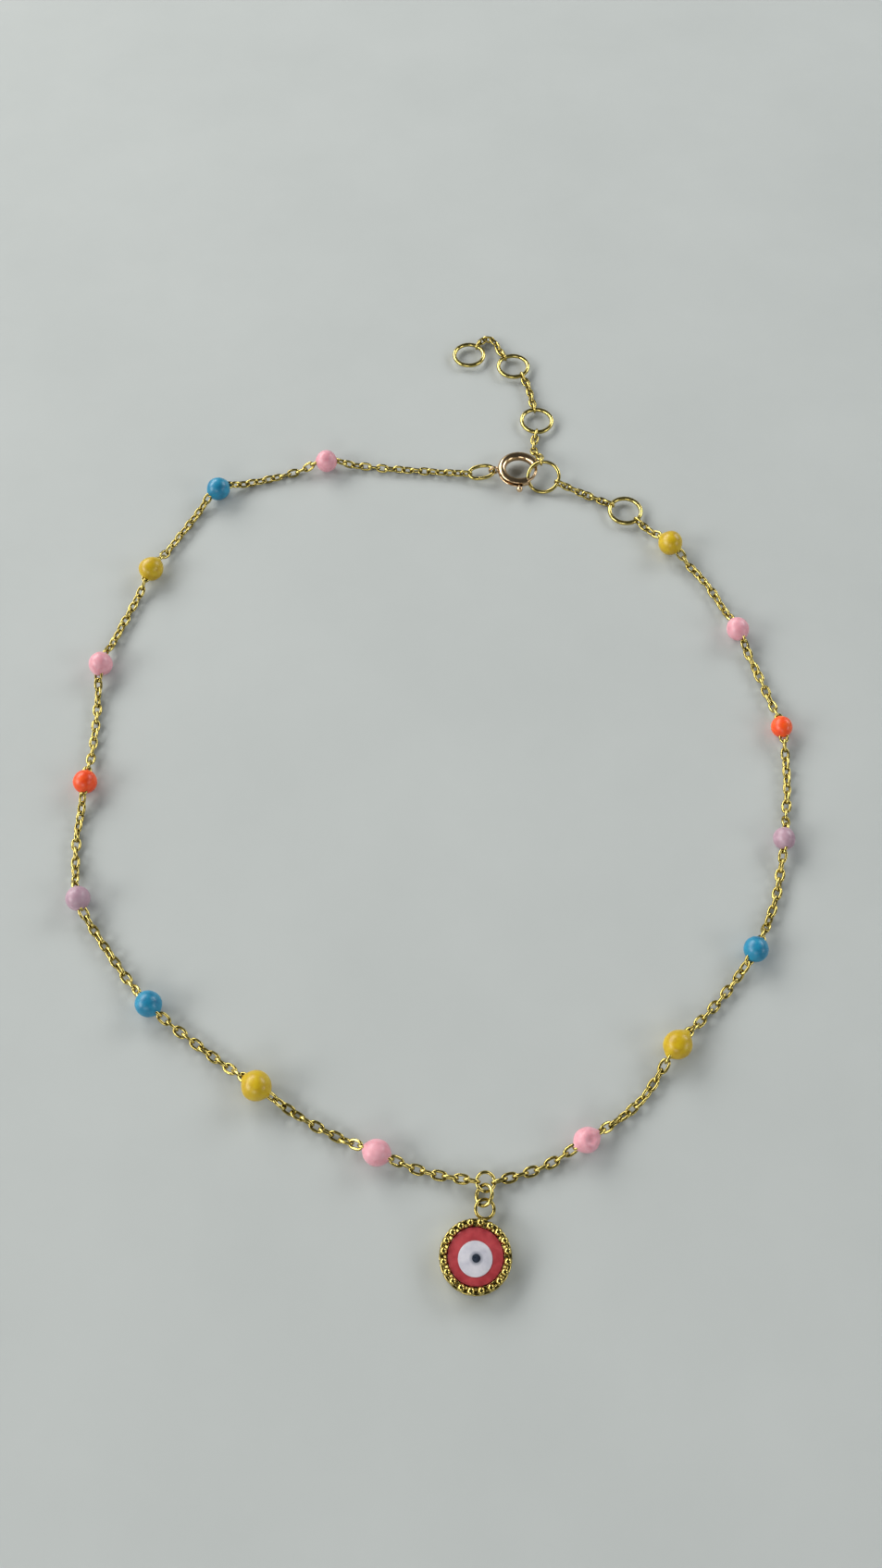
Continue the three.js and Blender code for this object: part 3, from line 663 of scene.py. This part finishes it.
def loop_route(start, start_bow, drops, end):
    """Route of half the loop, and the heading of the chain at each drop."""
    stops = [start[:2]] + [np.array(d[2:4]) for d in drops] + [end[:2]]
    bows = [start_bow] + [d[5] for d in drops]
    guide = [stops[0]]
    for i in range(1, len(stops)):
        a, b = np.asarray(stops[i - 1]), np.asarray(stops[i])
        step = b - a
        guide.append((a + b) / 2 + np.array([step[1], -step[0]]) * bows[i - 1] / np.linalg.norm(step))
        guide.append(b)
    t, at, slope = smooth_curve(guide)
    q = np.arange(0, t[-1], 0.05)
    q = np.append(q, t[-1])
    xy = at(q)
    heights = [start[2]] + [d[4] / 2 for d in drops] + [end[2]]
    floor = 0.43
    z = np.full(len(q), floor)
    for i, h in enumerate(heights):
        far = np.abs(q - t[2 * i])
        level = DROP_RUN if 0 < i < len(heights) - 1 else 0.5
        w = 1 - smoothstep((far - level) / (SLOPE_RUN - level))
        z = np.maximum(z, floor + (h - floor) * w)
    headings = [unit(np.append(slope[2 * i], 0)) for i in range(1, len(stops) - 1)]
    return np.column_stack([xy, z]), headings


def short_route(start, via, end):
    guide = [np.asarray(start)] + [np.asarray(v, float) for v in via] + [np.asarray(end)]
    t, at, _ = smooth_curve(guide)
    return at(np.append(np.arange(0, t[-1], 0.04), t[-1]))


left_end = on_ring(CENTRE_RING, SMALL_R, 180)
right_start = on_ring(CENTRE_RING, SMALL_R, 0)
ring = lambda k, angle: on_ring(RINGS[f"extension_ring_{k}"], RING_R, angle)

route, headings_left = loop_route(chain_point, FIRST_BOW, DROPS_LEFT, left_end)
links, count_left = lay_links(route, CONNECTOR_WIRE, SMALL_WIRE, 61)
piece("chain_left_links", links, GOLD, ["chain_left"])
route, headings_right = loop_route(right_start, CENTRE_BOW, DROPS_RIGHT, ring(1, -49))
links, count_right = lay_links(route, SMALL_WIRE, RING_WIRE, 62)
piece("chain_right_links", links, GOLD, ["chain_right"])

EXTENSIONS = [
    ("extension_chain_1", ring(1, 150), [(18.6, 28.95, 0.43), (16.2, 30.05, 0.6)], ring(2, -27), 63),
    ("extension_chain_2", ring(2, 96), [(11.98, 34.8, 1.3), (11.4, 36.0, 0.6), (11.45, 37.6, 0.43)], ring(3, -93), 64),
    ("extension_chain_3", ring(3, 97), [(11.4, 44.6, 0.43), (11.1, 46.6, 0.43)], ring(4, -56), 65),
    ("extension_chain_4", ring(4, 124), [(7.5, 53.3, 0.43), (7.0, 54.55, 0.5), (6.2, 54.95, 0.55), (5.5, 54.55, 0.5)], ring(5, 55), 66),
]
for name, start, via, end, seed in EXTENSIONS:
    links, _ = lay_links(short_route(start, via, end), RING_WIRE, RING_WIRE, seed)
    piece(name + "_links", links, GOLD, [name])

# ------------------------------------------------------------------ enamel drops


def drop_mesh(row, heading):
    name, colour, x, y, d, _, stretch, tip_a, tip_b, amount, seed = row
    r = d / 2
    field = uneven(seed, amount)
    fine = uneven(seed + 100, amount * 0.35, 10, 4.0, 7.0)

    def shape(dirs, s):
        s = s * (1 + field(dirs) + fine(dirs))[:, None]
        s[:, 2] *= 1 + stretch
        lateral = np.hypot(dirs[:, 0], dirs[:, 1])
        tip = np.where(dirs[:, 2] > 0, tip_b, tip_a) * np.exp(-((lateral / 0.34) ** 2)) * np.sign(dirs[:, 2])
        s[:, 2] += tip
        return s

    v, f = ball(r * 0.985, (x, y, r), 48, 56, heading, lump=shape)
    if name in DENTS:
        to, depth, width = DENTS[name]
        out = v - (x, y, r)
        out /= np.linalg.norm(out, axis=1)[:, None]
        v = v - out * (depth * np.exp(-(((1 - out @ unit(to)) / width) ** 2)))[:, None]
    v[:, 2] += 0.003 - v[:, 2].min()
    return v, f


for rows, headings in ((DROPS_LEFT, headings_left), (DROPS_RIGHT, headings_right)):
    for row, heading in zip(rows, headings):
        piece(row[0] + "_drop", drop_mesh(row, heading), ENAMELS[row[1]], [row[0]])

# ------------------------------------------------------------------ charm


def rounded(corners, steps=5):
    """A profile of (r, z, rounding): each corner is replaced by a short arc."""
    out = []
    pts = [np.array(c[:2], float) for c in corners]
    for i, c in enumerate(corners):
        fillet = c[2] if len(c) > 2 else 0
        if not fillet or i in (0, len(corners) - 1):
            out.append(tuple(pts[i]))
            continue
        a, b = unit(pts[i - 1] - pts[i]), unit(pts[i + 1] - pts[i])
        p, q = pts[i] + a * fillet, pts[i] + b * fillet
        for k in range(steps + 1):
            u = k / steps
            out.append(tuple((1 - u) ** 2 * p + 2 * u * (1 - u) * pts[i] + u * u * q))
    return out


cup = lathe(
    rounded([
        (0, 0), (1.5, 0), (2.4, 0), (CUP_R - 0.06, 0, 0.24), (CUP_R, 0.7), (CUP_R + 0.02, CUP_H - 0.06, 0.16), (2.84, CUP_H - 0.08, 0.05),
        (2.72, CUP_H - 0.20, 0.06), (2.44, CUP_H - 0.02, 0.06), (2.39, CUP_H - 0.14, 0.04), (2.38, CUP_FLOOR), (1.2, CUP_FLOOR), (0, CUP_FLOOR),
    ]),
    96,
)
grains = []
for i in range(GRAINS):
    a = (i + 0.5) / GRAINS * 2 * math.pi
    rng = np.random.RandomState(300 + i)
    out = np.array([math.cos(a), math.sin(a), 0.0])
    at = out * (GRAIN_R + rng.normal(0, 0.012)) + UP * (GRAIN_Z + rng.normal(0, 0.01))
    lump = uneven(400 + i, 0.02)
    size = GRAIN_D / 2 * (1 + rng.normal(0, 0.025))
    grains.append(ball(size, at, 16, 22, UP, (1, 1, 0.98), lambda d, s, f=lump: s * (1 + f(d))[:, None]))
bail_row = (BAIL[0] - CHARM[0], BAIL[1] - CHARM[1], BAIL[2], BAIL[3], BAIL[4])
bail = wire_ring(bail_row, SMALL_R, SMALL_WIRE, 250, 52, 96, 16)
to_bail = unit(np.array([bail_row[0], bail_row[1], 0]))
weld = ball(0.35, to_bail * 3.0 + UP * 0.7, 16, 20, to_bail, (1.25, 0.9, 0.9), lambda d, s, f=uneven(77, 0.05): s * (1 + f(d))[:, None])
setting = joined([cup, *grains, bail, weld])
piece("charm_setting_metal", (setting[0] + CHARM, setting[1]), SHADED_SETTING_GOLD, ["charm_setting"])

crown = lambda r: 1.42 + 0.16 * (1 - (r / 2.3) ** 2)


def dome(inner_r, outer_r, bottom, top_of, lip, segments=96, steps=18):
    """An enamel disc with a softly rounded edge."""
    rows = [(0, bottom), (outer_r * 0.5, bottom), (outer_r - 0.02, bottom)]
    for k in range(6):
        u = k / 5 * math.pi / 2
        rows.append((outer_r - lip + lip * math.cos(u), top_of(outer_r - lip) - lip + lip * math.sin(u)))
    for k in range(1, steps):
        r = (outer_r - lip) * (1 - k / steps)
        rows.append((r, top_of(r)))
    rows.append((0, top_of(0)))
    return lathe(rows, segments)


field_mesh = dome(0, FIELD_R, CUP_FLOOR + 0.03, lambda r: crown(r) - 0.01, 0.06)
white_mesh = dome(0, WHITE_R, 1.1, lambda r: crown(r) + 0.025 * (1 - (r / WHITE_R) ** 4) + 0.022, 0.03)
pupil_mesh = dome(0, PUPIL_R, 1.3, lambda r: crown(r) + 0.05 * (1 - (r / PUPIL_R) ** 4) + 0.03, 0.02, 56, 10)
piece("charm_field_enamel", (field_mesh[0] + CHARM, field_mesh[1]), ENAMELS["coral"], ["charm_enamel_field"])
piece("charm_white_enamel", (white_mesh[0] + WHITE_AT, white_mesh[1]), ENAMELS["white"], ["charm_enamel_white"])
piece("charm_pupil_enamel", (pupil_mesh[0] + PUPIL_AT, pupil_mesh[1]), ENAMELS["pupil"], ["charm_enamel_pupil"])

# ------------------------------------------------------------------ floor, light, camera


def floor():
    """A pale sweep: level under the anklet, curving up to a low wall far round it."""
    t = Tree("floor_pale")
    tone = t.ramp(t.noise(40, 5, 0.6), [(0.3, (0.50, 0.53, 0.52)), (0.7, (0.53, 0.56, 0.55))])
    t.link(tone, t.shader.inputs["Base Color"])
    t.link(t.span(t.noise(500, 3), 0.75, 0.9), t.shader.inputs["Roughness"])
    t.shader.inputs["Specular IOR Level"].default_value = 0.15
    rows = [(0.3, 0), (0.6, 0), (0.9, 0)]
    rows += [(0.9 + 0.35 * math.sin(rad(q)), 0.35 - 0.35 * math.cos(rad(q))) for q in range(10, 91, 10)]
    rows += [(1.25, 0.5), (1.25, 0.65)]
    verts, n = [(0, 0, -0.00001)], 72
    for r, z in rows:
        verts += [(r * math.cos(2 * math.pi * k / n), r * math.sin(2 * math.pi * k / n), z - 0.00001) for k in range(n)]
    faces = [(0, 1 + k, 1 + (k + 1) % n) for k in range(n)]
    for i in range(len(rows) - 1):
        for k in range(n):
            c, d = 1 + i * n + k, 1 + i * n + (k + 1) % n
            faces.append((c, c + n, d + n, d))
    mesh = bpy.data.meshes.new("floor")
    mesh.from_pydata(verts, [], faces)
    mesh.polygons.foreach_set("use_smooth", [True] * len(mesh.polygons))
    mesh.materials.append(t.material)
    obj = bpy.data.objects.new("floor", mesh)
    bpy.context.scene.collection.objects.link(obj)


def lamp(name, azimuth, elevation, distance, width, height, power, colour=(1, 1, 1)):
    """A soft box that looks at the anklet; azimuth 0 is on the +Y side, growing towards +X."""
    data = bpy.data.lights.new(name, "AREA")
    data.shape = "RECTANGLE"
    data.size, data.size_y = width, height
    data.energy = power
    data.color = colour
    obj = bpy.data.objects.new(name, data)
    obj.visible_camera = False
    bpy.context.scene.collection.objects.link(obj)
    a, e = rad(azimuth), rad(elevation)
    at = Vector((math.sin(a) * math.cos(e), math.cos(a) * math.cos(e), math.sin(e))) * distance
    obj.location = at
    obj.rotation_euler = (-at).to_track_quat("-Z", "Y").to_euler()
    return obj


floor()
lamp("back_left", -46, 31, 0.80, 0.80, 0.36, 5.8, (1.0, 0.985, 0.96))
lamp("left", -106, 26, 0.80, 0.50, 0.28, 3.2, (1.0, 0.99, 0.97))
lamp("back_right", 52, 28, 0.80, 0.48, 0.28, 2.2, (0.97, 0.985, 1.0))
lamp("right", 112, 25, 0.80, 0.34, 0.22, 1.0, (0.98, 0.99, 1.0))
lamp("front", -165, 28, 0.85, 0.40, 0.22, 1.2, (1.0, 0.99, 0.98))

world = bpy.data.worlds.new("studio")
world.use_nodes = True
world.node_tree.nodes["Background"].inputs["Color"].default_value = (0.80, 0.84, 0.86, 1)
world.node_tree.nodes["Background"].inputs["Strength"].default_value = 0.07
bpy.context.scene.world = world

camera = bpy.data.cameras.new("camera")
camera.sensor_fit = "VERTICAL"
camera.sensor_height = 36.0
camera.lens = 1342 / 1695 * 36.0
camera.clip_start, camera.clip_end = 0.002, 20
view = bpy.data.objects.new("camera", camera)
view.location = (0.000505, -0.066817, 0.11183)
view.rotation_euler = (rad(28), 0, 0)
bpy.context.scene.collection.objects.link(view)
bpy.context.scene.camera = view
bpy.context.scene.view_settings.view_transform = "Standard"
